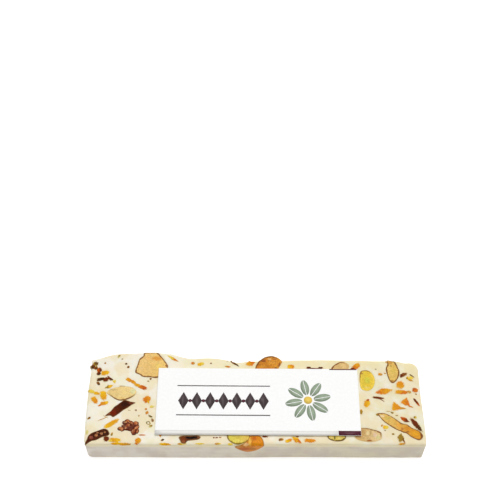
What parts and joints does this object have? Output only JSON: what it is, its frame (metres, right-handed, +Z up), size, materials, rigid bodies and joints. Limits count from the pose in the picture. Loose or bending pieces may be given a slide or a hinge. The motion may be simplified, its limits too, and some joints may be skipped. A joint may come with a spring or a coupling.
{
  "type": "nougat bar",
  "caption": "Long flat bar of white nougat showing knife-cut almonds, pistachios and pieces of dried fruit, with a printed paper card lying along its top.",
  "frame": {"origin": "middle of the bar's base, where it lies on a table", "axes": "+X along the bar's length towards its narrower end, +Y towards its uneven back edge, +Z up"},
  "size_m": [0.151, 0.0473, 0.0147],
  "materials": {
    "nougat": "soft matt sugar and egg white, cream with pale mottling",
    "almond": "cut nut, satin, with a thin brown skin at its rim",
    "pistachio": "cut nut, satin yellow green, with a brown green skin at its rim",
    "apricot": "dried fruit, slightly moist and glossy",
    "dark_fruit": "wrinkled dried fruit, slightly glossy",
    "paper": "smooth white card with a printed design"
  },
  "bodies": {
    "root": {"nougat": "nougat", "label": "paper", "almond_broad": "almond", "almond_left": "almond", "almond_back": "almond", "almond_back_right": "almond", "almond_right_end": "almond", "almond_long": "almond", "almond_pale": "almond", "pistachio_right": "pistachio", "pistachio_front": "pistachio", "pistachio_small": "pistachio", "apricot": "apricot", "dark_fruit_left": "dark_fruit", "dark_fruit_corner": "dark_fruit", "dark_fruit_cluster": "dark_fruit", "dark_fruit_front": "dark_fruit"}
  },
  "joints": []
}
